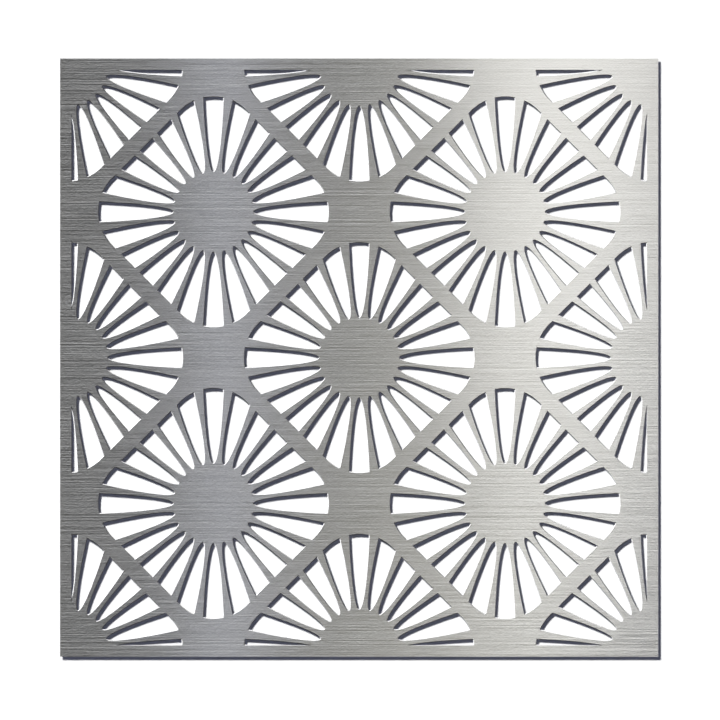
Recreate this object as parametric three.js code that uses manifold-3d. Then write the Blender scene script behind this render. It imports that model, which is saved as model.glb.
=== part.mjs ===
// Laser cut metal screen: one square sheet with sunburst rosettes cut through it.
// Millimetres, +Z up. The sheet stands in the XZ plane with its front face towards -Y,
// and the origin is the centre of its back face, in the middle of the central hub.

import * as THREE from 'three';
import { mergeVertices } from 'three/addons/utils/BufferGeometryUtils.js';
import Module from 'manifold-3d';

// The sheet
const panelSide = 600;            // height and width
const sheetThickness = 3;
const borderWidth = 11.35;        // uncut strip along all four edges

// The rosettes, set like the fives on a die and repeated over the sheet
const rosettePitch = 292.5;       // from one rosette to the next in its row or column
const webWidth = 15;              // metal between the straight sides of two rosettes
const rosetteCornerRadius = 48;   // a rosette is a square on its corner, with rounded corners

// The slots of one rosette
const slotsPerRosette = 24;
const hubRadius = 39.75;          // uncut disc that the slots start from
const ribWaist = 3.45;            // thinnest metal between two slots
const slotEllipseRadius = 133;    // half the length of the slim ellipse that shapes a slot

// How finely curves are divided
const slotSidePoints = 5;
const tipCrowding = 1.2;          // over 1 sets the points closer together at a slot's tip
const cornerSegments = 9;
const weldDistance = 1e-4;        // corners nearer than this are one corner

const wasm = await Module();
wasm.setup();

// A slot is the tip of a slim ellipse that points at the hub. The ellipse is as wide as
// the ribs on both sides of it allow: its distance from the line halfway to the next
// slot, measured square to that line, is half the rib's waist.
const halfStep = Math.PI / slotsPerRosette;
const slotEllipseCentre = hubRadius + slotEllipseRadius;
const slotEllipseHalfWidth = Math.sqrt(
  (slotEllipseCentre * Math.sin(halfStep) - ribWaist / 2) ** 2
  - (slotEllipseRadius * Math.sin(halfStep)) ** 2,
) / Math.cos(halfStep);

// Half the distance between two opposite straight sides of a rosette.
const rosetteApothem = (rosettePitch / Math.SQRT2 - webWidth) / 2;

function slotShape(hub, direction) {
  const origin = new THREE.Vector2();
  const side = [];
  for (let k = 0; k <= slotSidePoints; k++) {
    const share = (k + 0.5) / (slotSidePoints + 0.5);
    const turn = (Math.PI / 2) * share ** tipCrowding;
    side.push(new THREE.Vector2(
      slotEllipseCentre - slotEllipseRadius * Math.cos(turn),
      slotEllipseHalfWidth * Math.sin(turn),
    ));
  }
  const otherSide = side.map((p) => new THREE.Vector2(p.x, -p.y)).reverse();
  const atHub = (p) => p.clone().rotateAround(origin, direction).add(hub);
  return new THREE.Shape([...otherSide, ...side].map(atHub));
}

function rosetteOutline(hub) {
  const origin = new THREE.Vector2();
  const arcCentre = Math.SQRT2 * (rosetteApothem - rosetteCornerRadius);
  const points = [];
  for (let corner = 0; corner < 4; corner++) {
    for (let k = 0; k <= cornerSegments; k++) {
      const turn = Math.PI / 2 * (k / cornerSegments - 0.5);
      const point = new THREE.Vector2(
        arcCentre + rosetteCornerRadius * Math.cos(turn),
        rosetteCornerRadius * Math.sin(turn),
      );
      points.push(point.rotateAround(origin, corner * Math.PI / 2).add(hub));
    }
  }
  return new THREE.Shape(points);
}

function squareShape(side) {
  const half = side / 2;
  return new THREE.Shape([
    new THREE.Vector2(-half, -half),
    new THREE.Vector2(half, -half),
    new THREE.Vector2(half, half),
    new THREE.Vector2(-half, half),
  ]);
}

function solidOf(shapes, low, high) {
  let geometry = new THREE.ExtrudeGeometry(shapes, { depth: high - low, bevelEnabled: false });
  geometry.translate(0, 0, low);
  geometry.deleteAttribute('normal');
  geometry.deleteAttribute('uv');
  geometry = mergeVertices(geometry, weldDistance);
  return new wasm.Manifold(new wasm.Mesh({
    numProp: 3,
    vertProperties: new Float32Array(geometry.attributes.position.array),
    triVerts: new Uint32Array(geometry.index.array),
  }));
}

function geometryOf(solid) {
  const mesh = solid.getMesh();
  const geometry = new THREE.BufferGeometry();
  geometry.setAttribute('position', new THREE.BufferAttribute(mesh.vertProperties, 3));
  geometry.setIndex(new THREE.BufferAttribute(mesh.triVerts, 1));
  const flatFaces = geometry.toNonIndexed();
  flatFaces.computeVertexNormals();
  return flatFaces;
}

// Every hub whose rosette reaches into the field inside the border.
function hubPositions(fieldSide) {
  const step = rosettePitch / 2;
  const reach = Math.floor((fieldSide / 2 + rosetteApothem * Math.SQRT2) / step);
  const hubs = [];
  for (let column = -reach; column <= reach; column++) {
    for (let row = -reach; row <= reach; row++) {
      if ((column + row) % 2 === 0) {
        hubs.push(new THREE.Vector2(column * step, row * step));
      }
    }
  }
  return hubs;
}

function screenPanel() {
  // The cutters run past both faces of the sheet by half its thickness.
  const cutLow = -sheetThickness / 2;
  const cutHigh = sheetThickness * 3 / 2;
  const fieldSide = panelSide - 2 * borderWidth;
  const field = solidOf([squareShape(fieldSide)], cutLow, cutHigh);
  let sheet = solidOf([squareShape(panelSide)], 0, sheetThickness);
  for (const hub of hubPositions(fieldSide)) {
    const slots = [];
    for (let k = 0; k < slotsPerRosette; k++) {
      slots.push(slotShape(hub, 2 * halfStep * k));
    }
    const rosette = solidOf([rosetteOutline(hub)], cutLow, cutHigh);
    const openings = solidOf(slots, cutLow, cutHigh).intersect(rosette).intersect(field);
    sheet = sheet.subtract(openings);
  }
  const brushedSteel = new THREE.MeshStandardMaterial({ color: 0xafaeac, roughness: 0.35, metalness: 1 });
  const panel = new THREE.Mesh(geometryOf(sheet), brushedSteel);
  panel.name = 'screen_panel';
  panel.rotation.x = Math.PI / 2;   // stands the sheet up: its cut face turns to -Y
  return panel;
}

const screen = new THREE.Group();
screen.add(screenPanel());

export default screen;
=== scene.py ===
import math

import bmesh
import bpy
from mathutils import Matrix, Vector


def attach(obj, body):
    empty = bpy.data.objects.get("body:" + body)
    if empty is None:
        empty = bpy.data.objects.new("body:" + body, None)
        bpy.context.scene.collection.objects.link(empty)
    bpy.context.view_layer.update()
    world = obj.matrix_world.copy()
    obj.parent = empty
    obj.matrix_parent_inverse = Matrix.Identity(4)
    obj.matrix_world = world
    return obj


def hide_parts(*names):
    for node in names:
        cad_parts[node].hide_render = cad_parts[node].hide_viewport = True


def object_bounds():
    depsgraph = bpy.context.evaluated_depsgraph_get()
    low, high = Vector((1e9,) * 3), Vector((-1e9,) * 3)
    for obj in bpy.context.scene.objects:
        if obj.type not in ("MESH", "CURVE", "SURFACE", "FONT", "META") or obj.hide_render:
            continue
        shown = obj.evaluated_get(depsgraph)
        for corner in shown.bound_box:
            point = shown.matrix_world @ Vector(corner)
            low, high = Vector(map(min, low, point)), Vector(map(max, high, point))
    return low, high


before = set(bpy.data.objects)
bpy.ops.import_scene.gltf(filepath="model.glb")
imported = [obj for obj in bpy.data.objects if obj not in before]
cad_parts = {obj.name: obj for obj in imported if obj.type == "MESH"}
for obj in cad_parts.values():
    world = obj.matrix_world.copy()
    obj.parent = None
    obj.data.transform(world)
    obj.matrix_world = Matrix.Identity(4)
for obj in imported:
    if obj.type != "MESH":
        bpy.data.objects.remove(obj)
cadLow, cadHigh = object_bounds()
print("frame loaded:", sorted(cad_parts))


# camera

photo = {
    "width": 720.0,                # the photograph's frame, in pixels
    "faceLeft": 59.9,              # where the sheet's face starts and ends across it
    "faceRight": 658.1,
    "faceCentreX": 359.2,
    "faceCentreY": 357.6,
    "distance": 2.2,               # from the camera to the sheet's back, in metres
}


def makeCamera():
    side = cadHigh.x - cadLow.x
    pixel = side / (photo["faceRight"] - photo["faceLeft"])
    camera = bpy.data.objects.new("camera", bpy.data.cameras.new("camera"))
    camera.data.type = "ORTHO"
    camera.data.ortho_scale = photo["width"] * pixel
    offX = (photo["width"] / 2 - photo["faceCentreX"]) * pixel
    offZ = (photo["faceCentreY"] - photo["width"] / 2) * pixel
    camera.location = (offX, -photo["distance"], offZ)
    camera.rotation_euler = (math.radians(90), 0, 0)
    bpy.context.scene.collection.objects.link(camera)
    bpy.context.scene.camera = camera


makeCamera()
print("camera made")


# node helpers

def newMaterial(name):
    material = bpy.data.materials.new(name)
    material.use_nodes = True
    return material, material.node_tree.nodes, material.node_tree.links


def newGroup(name, inputs, outputs):
    group = bpy.data.node_groups.new(name, "ShaderNodeTree")
    for label, kind, start in inputs:
        socket = group.interface.new_socket(name=label, in_out="INPUT", socket_type=kind)
        if start is not None:
            socket.default_value = start
    for label, kind in outputs:
        group.interface.new_socket(name=label, in_out="OUTPUT", socket_type=kind)
    return group, group.nodes.new("NodeGroupInput"), group.nodes.new("NodeGroupOutput")


def placeGroup(nodes, group, values):
    node = nodes.new("ShaderNodeGroup")
    node.node_tree = group
    for label, value in values.items():
        node.inputs[label].default_value = value
    return node


def mathNode(nodes, links, operation, a, b=None, clamp=False):
    node = nodes.new("ShaderNodeMath")
    node.operation = operation
    node.use_clamp = clamp
    for socket, value in zip(node.inputs, (a, b)):
        if isinstance(value, (int, float)):
            socket.default_value = value
        elif value is not None:
            links.new(value, socket)
    return node.outputs[0]


grain = {
    "start": (0.37, 0.5, 0.21),    # where in the noise the first row lies
    "rowStep": 7.3,                # far enough apart in the noise for rows that don't match
    "burrRows": 2,
}


# Lines drawn out along one axis: long ones that cross the sheet, and short and fine ones among them.
# Each row of them is independent, but for a trace of the opposite tone two rows on: a scratch has its burr.
def makeStreaks():
    group, entry, out = newGroup(
        "streaks",
        [("Vector", "NodeSocketVector", None),
         ("Long", "NodeSocketVector", (5.0, 1.0, 1900.0)),
         ("Short", "NodeSocketVector", (60.0, 1.0, 1900.0)),
         ("Fine", "NodeSocketVector", (600.0, 1.0, 1900.0)),
         ("Short Share", "NodeSocketFloat", 0.65),
         ("Fine Share", "NodeSocketFloat", 0.85),
         ("Burr", "NodeSocketFloat", -0.45)],
        [("Value", "NodeSocketFloat")])
    nodes, links = group.nodes, group.links
    across, off, up = grain["start"]
    sums = []
    for shift in (0, grain["burrRows"]):
        values = []
        for label in ("Long", "Short", "Fine"):
            stretch = nodes.new("ShaderNodeVectorMath")
            stretch.operation = "MULTIPLY_ADD"
            stretch.inputs[2].default_value = (across, off, up + shift)
            links.new(entry.outputs["Vector"], stretch.inputs[0])
            links.new(entry.outputs[label], stretch.inputs[1])
            parts = nodes.new("ShaderNodeSeparateXYZ")
            links.new(stretch.outputs[0], parts.inputs[0])
            whole = mathNode(nodes, links, "FLOOR", parts.outputs["Z"])
            row = mathNode(nodes, links, "MULTIPLY", whole, grain["rowStep"])
            line = nodes.new("ShaderNodeCombineXYZ")
            links.new(parts.outputs["X"], line.inputs["X"])
            links.new(parts.outputs["Y"], line.inputs["Y"])
            links.new(row, line.inputs["Z"])
            noise = nodes.new("ShaderNodeTexNoise")
            noise.inputs["Scale"].default_value = 1.0
            noise.inputs["Detail"].default_value = 0.0
            links.new(line.outputs[0], noise.inputs["Vector"])
            values.append(mathNode(nodes, links, "SUBTRACT", noise.outputs["Fac"], 0.5))
        short = mathNode(nodes, links, "MULTIPLY", values[1], entry.outputs["Short Share"])
        fine = mathNode(nodes, links, "MULTIPLY", values[2], entry.outputs["Fine Share"])
        shorter = mathNode(nodes, links, "ADD", short, fine)
        sums.append(mathNode(nodes, links, "ADD", values[0], shorter))
    burr = mathNode(nodes, links, "MULTIPLY", sums[1], entry.outputs["Burr"])
    links.new(mathNode(nodes, links, "ADD", sums[0], burr), out.inputs["Value"])
    return group


streaks = makeStreaks()


# brushed steel faces

brushed = {
    "colour": (0.62, 0.62, 0.615),
    "roughness": 0.32,
    "anisotropy": 0.95,
    "grainTurn": 0.25,             # of a full turn: the light spreads up and down, across the lines
    "metallic": 0.86,
    "lineContrast": 0.16,          # how much the lines differ in colour
    "lineTilt": 0.25,              # how much in leaning up or down
    "lineFrost": 0.44,             # and how much in scattering the light
}


def makeBrushedSteel():
    material, nodes, links = newMaterial("brushedSteel")
    steel = nodes["Principled BSDF"]
    coords = nodes.new("ShaderNodeTexCoord")
    lines = placeGroup(nodes, streaks, {})
    links.new(coords.outputs["Object"], lines.inputs["Vector"])
    value = lines.outputs["Value"]
    contrast = mathNode(nodes, links, "MULTIPLY", value, brushed["lineContrast"])
    factor = mathNode(nodes, links, "ADD", contrast, 1.0)
    tint = nodes.new("ShaderNodeVectorMath")
    tint.operation = "SCALE"
    tint.inputs[0].default_value = brushed["colour"]
    links.new(factor, tint.inputs["Scale"])
    links.new(tint.outputs[0], steel.inputs["Base Color"])
    lean = nodes.new("ShaderNodeCombineXYZ")
    links.new(mathNode(nodes, links, "MULTIPLY", value, brushed["lineTilt"]), lean.inputs["Z"])
    surface = nodes.new("ShaderNodeNewGeometry")
    leaning = nodes.new("ShaderNodeVectorMath")
    links.new(surface.outputs["Normal"], leaning.inputs[0])
    links.new(lean.outputs[0], leaning.inputs[1])
    unit = nodes.new("ShaderNodeVectorMath")
    unit.operation = "NORMALIZE"
    links.new(leaning.outputs[0], unit.inputs[0])
    links.new(unit.outputs[0], steel.inputs["Normal"])
    frost = mathNode(nodes, links, "MULTIPLY", value, brushed["lineFrost"])
    clear = mathNode(nodes, links, "SUBTRACT", brushed["metallic"], frost, clamp=True)
    links.new(clear, steel.inputs["Metallic"])
    steel.inputs["Specular IOR Level"].default_value = 0.0
    steel.inputs["Roughness"].default_value = brushed["roughness"]
    steel.inputs["Anisotropic"].default_value = brushed["anisotropy"]
    steel.inputs["Anisotropic Rotation"].default_value = brushed["grainTurn"]
    along = nodes.new("ShaderNodeTangent")
    along.direction_type = "UV_MAP"
    along.uv_map = "face"
    links.new(along.outputs[0], steel.inputs["Tangent"])
    return material


# laser cut walls

cutEdge = {
    "colour": (0.33, 0.33, 0.35),
    "roughness": 0.3,
    "striaDepth": 0.00003,         # the marks that the beam leaves
    "striae": {"Long": (900.0, 60.0, 2500.0), "Short": (2500.0, 150.0, 2500.0),
               "Fine": (5000.0, 300.0, 5000.0), "Burr": 0.0},
}


def makeCutEdge():
    material, nodes, links = newMaterial("laserCutEdge")
    steel = nodes["Principled BSDF"]
    coords = nodes.new("ShaderNodeTexCoord")
    lines = placeGroup(nodes, streaks, cutEdge["striae"])
    links.new(coords.outputs["Object"], lines.inputs["Vector"])
    factor = mathNode(nodes, links, "ADD", lines.outputs["Value"], 1.0)
    tint = nodes.new("ShaderNodeVectorMath")
    tint.operation = "SCALE"
    tint.inputs[0].default_value = cutEdge["colour"]
    links.new(factor, tint.inputs["Scale"])
    links.new(tint.outputs[0], steel.inputs["Base Color"])
    bump = nodes.new("ShaderNodeBump")
    bump.inputs["Distance"].default_value = cutEdge["striaDepth"]
    links.new(lines.outputs["Value"], bump.inputs["Height"])
    links.new(bump.outputs[0], steel.inputs["Normal"])
    steel.inputs["Metallic"].default_value = 1.0
    steel.inputs["Roughness"].default_value = cutEdge["roughness"]
    return material


# the sheet

sheet = {
    "borderWidth": 0.01135,
    "rosettePitch": 0.2925,
    "webWidth": 0.015,
    "cornerRadius": 0.048,
    "slotsPerRosette": 24,
    "hubRadius": 0.03975,
    "ribWaist": 0.00345,
    "slotEllipseRadius": 0.133,
    "ellipseSegments": 112,
    "cornerCuts": 12,              # straight cuts that round one corner of a rosette
    "kerfTaper": 0.0007,           # how much narrower a cut is at the back, on each side
    "cornerReach": 1.5,            # a sharp corner moves at most this many times as far as a side
    "shortestEdge": 0.0002,        # a shorter one would fold over where the cut narrows
    "sharpCorner": 40,             # degrees between two faces that aren't shaded as one
    "weld": 0.000002,
}


# The steps are those of the metal shop: one slot, a fan of them, the rosette's outline, the pattern.
def slotFan(bm):
    halfStep = math.pi / sheet["slotsPerRosette"]
    centre = sheet["hubRadius"] + sheet["slotEllipseRadius"]
    reach = centre * math.sin(halfStep) - sheet["ribWaist"] / 2
    halfWidth = math.sqrt(reach ** 2 - (sheet["slotEllipseRadius"] * math.sin(halfStep)) ** 2)
    halfWidth /= math.cos(halfStep)
    ellipse = bmesh.ops.create_circle(bm, cap_ends=True, segments=sheet["ellipseSegments"], radius=1.0)
    bmesh.ops.scale(bm, vec=(sheet["slotEllipseRadius"], halfWidth, 1), verts=ellipse["verts"])
    bmesh.ops.translate(bm, vec=(centre, 0, 0), verts=ellipse["verts"])
    cutBeyond(bm, (centre, 0, 0), (1, 0, 0))
    copies = sheet["slotsPerRosette"] - 1
    bmesh.ops.spin(bm, geom=bm.verts[:] + bm.edges[:] + bm.faces[:], cent=(0, 0, 0), axis=(0, 0, 1),
                   dvec=(0, 0, 0), angle=2 * halfStep * copies, steps=copies, use_duplicate=True)


def cutBeyond(bm, point, normal):
    bmesh.ops.bisect_plane(bm, geom=bm.verts[:] + bm.edges[:] + bm.faces[:], dist=sheet["weld"],
                           plane_co=point, plane_no=normal, clear_outer=True)


def trimRosette(bm):
    apothem = (sheet["rosettePitch"] / math.sqrt(2) - sheet["webWidth"]) / 2
    arcCentre = math.sqrt(2) * (apothem - sheet["cornerRadius"])
    for corner in range(4):
        along = Vector((1, 0, 0))
        for k in range(sheet["cornerCuts"] + 1):
            turn = corner * math.pi / 2 + math.pi / 2 * (k / sheet["cornerCuts"] - 0.5)
            normal = Matrix.Rotation(turn, 3, "Z") @ along
            middle = Matrix.Rotation(corner * math.pi / 2, 3, "Z") @ along * arcCentre
            cutBeyond(bm, middle + normal * sheet["cornerRadius"], normal)


def patternField(bm, fieldSide):
    step = sheet["rosettePitch"] / 2
    first = bm.verts[:] + bm.edges[:] + bm.faces[:]
    for column in range(-2, 3):
        for row in range(-2, 3):
            if (column + row) % 2 == 0 and (column, row) != (0, 0):
                copy = bmesh.ops.duplicate(bm, geom=first)["geom"]
                verts = [v for v in copy if isinstance(v, bmesh.types.BMVert)]
                bmesh.ops.translate(bm, vec=(column * step, row * step, 0), verts=verts)
    for normal in (Vector((1, 0, 0)), Vector((-1, 0, 0)), Vector((0, 1, 0)), Vector((0, -1, 0))):
        cutBeyond(bm, normal * fieldSide / 2, normal)


def isWall(face):
    return abs(face.normal.y) < 0.5


# The laser's beam narrows through the metal, so an opening is a little smaller at the back.
def taperCuts(bm, fieldSide):
    edge = fieldSide / 2 + sheet["weld"]
    moves = []
    for v in bm.verts:
        onBack = v.co.y > cadHigh.y - sheet["weld"]
        walls = [f.normal for f in v.link_faces if isWall(f)]
        if onBack and walls and max(abs(v.co.x), abs(v.co.z)) < edge:
            inward = sum(walls, Vector()) / len(walls)
            reach = min(1 / inward.length, sheet["cornerReach"])
            moves.append((v, inward.normalized() * sheet["kerfTaper"] * reach))
    for v, move in moves:
        v.co += move
    bm.normal_update()


# Faces take the brushing, which runs along the UV map's first axis, and walls the cut finish.
def finishFaces(bm, side):
    layer = bm.loops.layers.uv.new("face")
    for e in bm.edges:
        e.smooth = e.calc_face_angle(0) < math.radians(sheet["sharpCorner"])
    for f in bm.faces:
        f.material_index = 1 if isWall(f) else 0
        f.smooth = isWall(f)
        for loop in f.loops:
            loop[layer].uv = (loop.vert.co.x / side + 0.5, loop.vert.co.z / side + 0.5)


def makeSheet():
    side = cadHigh.x - cadLow.x
    thickness = cadHigh.y - cadLow.y
    fieldSide = side - 2 * sheet["borderWidth"]
    bm = bmesh.new()
    slotFan(bm)
    trimRosette(bm)
    patternField(bm, fieldSide)
    bmesh.ops.delete(bm, geom=bm.faces[:], context="FACES_ONLY")
    bmesh.ops.remove_doubles(bm, verts=bm.verts[:], dist=sheet["shortestEdge"])
    blank = bmesh.ops.create_grid(bm, x_segments=1, y_segments=1, size=side / 2)
    blankFaces = list({f for v in blank["verts"] for f in v.link_faces})
    bmesh.ops.delete(bm, geom=blankFaces, context="FACES_ONLY")
    bmesh.ops.triangle_fill(bm, edges=bm.edges[:], use_beauty=True, normal=(0, 0, 1))
    raised = bmesh.ops.extrude_face_region(bm, geom=bm.faces[:], use_keep_orig=True)["geom"]
    upper = [v for v in raised if isinstance(v, bmesh.types.BMVert)]
    bmesh.ops.translate(bm, vec=(0, 0, thickness), verts=upper)
    bmesh.ops.rotate(bm, cent=(0, 0, 0), matrix=Matrix.Rotation(math.radians(90), 3, "X"), verts=bm.verts[:])
    bmesh.ops.translate(bm, vec=(0, cadHigh.y, 0), verts=bm.verts[:])
    bmesh.ops.recalc_face_normals(bm, faces=bm.faces[:])
    taperCuts(bm, fieldSide)
    finishFaces(bm, side)
    mesh = bpy.data.meshes.new("laserCutSheet")
    bm.to_mesh(mesh)
    bm.free()
    panel = bpy.data.objects.new("laserCutSheet", mesh)
    bpy.context.scene.collection.objects.link(panel)
    mesh.materials.append(makeBrushedSteel())
    mesh.materials.append(makeCutEdge())
    return panel


panel = makeSheet()
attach(panel, "root")
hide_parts("screen_panel")
print("sheet made:", len(panel.data.polygons), "faces")


# the wall and the floor

room = {
    "wallGap": 0.02,               # from the sheet's back to the wall
    "floorDrop": 0.12,             # from the sheet's bottom edge to the floor
    "reach": 6.0,
    "wallColour": (0.82, 0.82, 0.82, 1),
    "floorColour": (0.8, 0.8, 0.79, 1),
}


def makePlane(name, size, turn, place, material):
    bm = bmesh.new()
    bmesh.ops.create_grid(bm, x_segments=1, y_segments=1, size=size / 2)
    bmesh.ops.rotate(bm, cent=(0, 0, 0), matrix=Matrix.Rotation(turn, 3, "X"), verts=bm.verts[:])
    bmesh.ops.translate(bm, vec=place, verts=bm.verts[:])
    mesh = bpy.data.meshes.new(name)
    bm.to_mesh(mesh)
    bm.free()
    mesh.materials.append(material)
    plane = bpy.data.objects.new(name, mesh)
    bpy.context.scene.collection.objects.link(plane)
    return plane


# The wall shows from the front alone, so that the sheet's back can be seen from behind.
def makeWallPaint():
    material, nodes, links = newMaterial("wallPaint")
    paint = nodes["Principled BSDF"]
    paint.inputs["Base Color"].default_value = room["wallColour"]
    paint.inputs["Roughness"].default_value = 1.0
    paint.inputs["Specular IOR Level"].default_value = 0.0
    clear = nodes.new("ShaderNodeBsdfTransparent")
    side = nodes.new("ShaderNodeNewGeometry")
    mix = nodes.new("ShaderNodeMixShader")
    links.new(side.outputs["Backfacing"], mix.inputs["Fac"])
    links.new(paint.outputs[0], mix.inputs[1])
    links.new(clear.outputs[0], mix.inputs[2])
    links.new(mix.outputs[0], nodes["Material Output"].inputs["Surface"])
    return material


def makeFloorPaint():
    material, nodes, links = newMaterial("floorPaint")
    paint = nodes["Principled BSDF"]
    paint.inputs["Base Color"].default_value = room["floorColour"]
    paint.inputs["Roughness"].default_value = 0.9
    paint.inputs["Specular IOR Level"].default_value = 0.0
    return material


def makeRoom():
    floorZ = cadLow.z - room["floorDrop"]
    half = room["reach"] / 2
    wallY = cadHigh.y + room["wallGap"]
    wall = makePlane("wall", room["reach"], math.radians(90), (0, wallY, floorZ + half), makeWallPaint())
    floor = makePlane("floor", 2 * room["reach"], 0, (0, 0, floorZ), makeFloorPaint())
    for other in ("diffuse", "glossy", "transmission", "shadow"):
        setattr(wall, "visible_" + other, False)
    floor.visible_diffuse = False
    floor.visible_glossy = False
    floor.visible_shadow = False


makeRoom()
print("room made")


# lights

# Softboxes are seen by the metal alone; place is across, towards the viewer and up, in metres.
softboxes = [
    {"name": "rightBox", "place": (0.223, 1.2, 0.49), "size": (0.234, 1.4), "glow": 1.85,
     "colour": (1.0, 0.985, 0.94), "aim": "level"},
    {"name": "rightStrip", "place": (0.187, 1.2, -0.4), "size": (0.04, 1.2), "glow": 0.38,
     "colour": (0.95, 1.0, 0.98), "aim": "level"},
    {"name": "coolStrip", "place": (0.31, 1.2, 0.0), "size": (0.06, 2.0), "glow": 0.1,
     "colour": (0.2, 0.4, 1.3), "aim": "level"},
    {"name": "leftStrip", "place": (-0.135, 0.9, 0.0), "size": (0.02, 2.0), "glow": 2.0,
     "colour": (0.965, 1.0, 1.17), "aim": "level"},
    {"name": "lowBox", "place": (0.08, 1.1, -0.47), "size": (0.29, 1.03), "glow": 0.375,
     "colour": (1.03, 1.0, 0.86), "aim": "level"},
    {"name": "cornerBox", "place": (-0.19, 1.1, -0.85), "size": (0.26, 0.6), "glow": 0.16,
     "colour": (1.0, 1.0, 0.98), "aim": "level"},
    {"name": "farLeftBox", "place": (-1.3, 1.3, 0.15), "size": (0.34, 2.0), "glow": 1.8,
     "colour": (1.0, 0.99, 0.97), "aim": "inward"},
    {"name": "behindBox", "place": (1.3, -1.3, 0.45), "size": (0.34, 2.0), "glow": 1.8,
     "colour": (0.98, 1.0, 1.03), "aim": "inward"},
]

# The key comes from the upper left, and its shadow is as wide all over the wall.
keyLight = {
    "place": (-0.981, -8.0, 1.279),
    "strength": 4.0,
    "angle": 0.07,
    "colour": (1.0, 1.0, 0.975),
}

# A weak light from straight ahead, which reaches into the shadow on the wall.
fillLight = {
    "place": (0.0, -8.0, 0.0),
    "strength": 0.05,
    "angle": 0.01,
    "colour": (0.72, 0.81, 1.42),
}

# Light from above and behind, for the floor and the sheet's top and back, which doesn't reach the wall.
overheadLight = {
    "place": (0.3, 0.45, 3.0),
    "strength": 4.2,
    "angle": 0.2,
    "colour": (1.0, 1.0, 1.0),
}


def addLight(name, kind, place, towards, seenBy):
    light = bpy.data.objects.new(name, bpy.data.lights.new(name, kind))
    light.location = place
    light.rotation_euler = (Vector(towards) - Vector(place)).to_track_quat("-Z", "Y").to_euler()
    light.visible_camera = False
    light.visible_diffuse = seenBy == "wall"
    light.visible_glossy = seenBy == "metal"
    bpy.context.scene.collection.objects.link(light)
    return light


def makeLights():
    for box in softboxes:
        across, off, up = box["place"]
        aim = (across, 0, up) if box["aim"] == "level" else (0, 0, 0)
        light = addLight(box["name"], "AREA", (across, -off, up), aim, "metal")
        light.data.shape = "RECTANGLE"
        light.data.size, light.data.size_y = box["size"]
        light.data.energy = box["glow"] * math.pi * box["size"][0] * box["size"][1]
        light.data.color = box["colour"]
    for name, lamp in (("key", keyLight), ("fill", fillLight), ("overhead", overheadLight)):
        light = addLight(name, "SUN", lamp["place"], (0, 0, 0), "wall")
        light.data.energy = lamp["strength"]
        light.data.angle = lamp["angle"]
        light.data.color = lamp["colour"]


makeLights()


air = {
    "seen": (1.0, 1.0, 1.0, 1),
    "fill": (0.063, 0.067, 0.1, 1),
    "reflected": (1.0, 1.0, 0.98, 1),
    "darkest": 0.05,               # how bright the metal finds the air in front of it
    "brightest": 0.32,             # and to the sides and behind
    "fadeFrom": -1.0,              # along Y, where -1 is straight ahead of the sheet
    "fadeTo": -0.4,
    "wall": 3.6,                   # how bright the cuts' slanting sides find the lit wall behind
    "wallFrom": 0.8,               # a direction meets that wall where its Y is over this
    "litAhead": 0.12,              # the lit share of what it finds straight back, the rest being shadow
    "litUpLeft": 2.2,              # and how fast that grows towards the upper left
}


# The air darkens straight ahead of the sheet. Behind it the cuts' sides mirror the wall: its lit part
# where they face the key, and their own shadow where they face away.
def mirrorStrength(nodes, links):
    coords = nodes.new("ShaderNodeTexCoord")
    parts = nodes.new("ShaderNodeSeparateXYZ")
    links.new(coords.outputs["Generated"], parts.inputs[0])
    fade = nodes.new("ShaderNodeMapRange")
    fade.interpolation_type = "SMOOTHSTEP"
    for label, value in (("From Min", air["fadeFrom"]), ("From Max", air["fadeTo"]),
                         ("To Min", air["darkest"]), ("To Max", air["brightest"])):
        fade.inputs[label].default_value = value
    links.new(parts.outputs["Y"], fade.inputs["Value"])
    upLeft = mathNode(nodes, links, "SUBTRACT", parts.outputs["Z"], parts.outputs["X"])
    grown = mathNode(nodes, links, "MULTIPLY", upLeft, air["litUpLeft"])
    lit = mathNode(nodes, links, "ADD", grown, air["litAhead"], clamp=True)
    behind = mathNode(nodes, links, "GREATER_THAN", parts.outputs["Y"], air["wallFrom"])
    mix = nodes.new("ShaderNodeMix")
    links.new(behind, mix.inputs["Factor"])
    links.new(fade.outputs[0], mix.inputs["A"])
    links.new(mathNode(nodes, links, "MULTIPLY", lit, air["wall"]), mix.inputs["B"])
    return mix.outputs["Result"]


# What the camera sees past the floor, what the metal mirrors and what fills the shadows.
# What the metal's back would throw on the wall is left out: the shadow there is even.
def makeAir():
    world = bpy.data.worlds.new("air")
    world.use_nodes = True
    nodes, links = world.node_tree.nodes, world.node_tree.links
    nodes["Background"].inputs["Color"].default_value = air["fill"]
    path = nodes.new("ShaderNodeLightPath")
    offWall = mathNode(nodes, links, "GREATER_THAN", path.outputs["Diffuse Depth"], 0.5)
    mirrored = mathNode(nodes, links, "SUBTRACT", path.outputs["Is Glossy Ray"], offWall, clamp=True)
    last = nodes["Background"].outputs[0]
    mirror = nodes.new("ShaderNodeBackground")
    sky = nodes.new("ShaderNodeBackground")
    seen = path.outputs["Is Camera Ray"]
    for ray, background, label in ((mirrored, mirror, "reflected"), (seen, sky, "seen")):
        background.inputs["Color"].default_value = air[label]
        mix = nodes.new("ShaderNodeMixShader")
        links.new(ray, mix.inputs["Fac"])
        links.new(last, mix.inputs[1])
        links.new(background.outputs[0], mix.inputs[2])
        last = mix.outputs[0]
    links.new(last, nodes["World Output"].inputs["Surface"])
    links.new(mirrorStrength(nodes, links), mirror.inputs["Strength"])
    bpy.context.scene.world = world


makeAir()
bpy.context.scene.view_settings.view_transform = "Standard"
print("lights made")
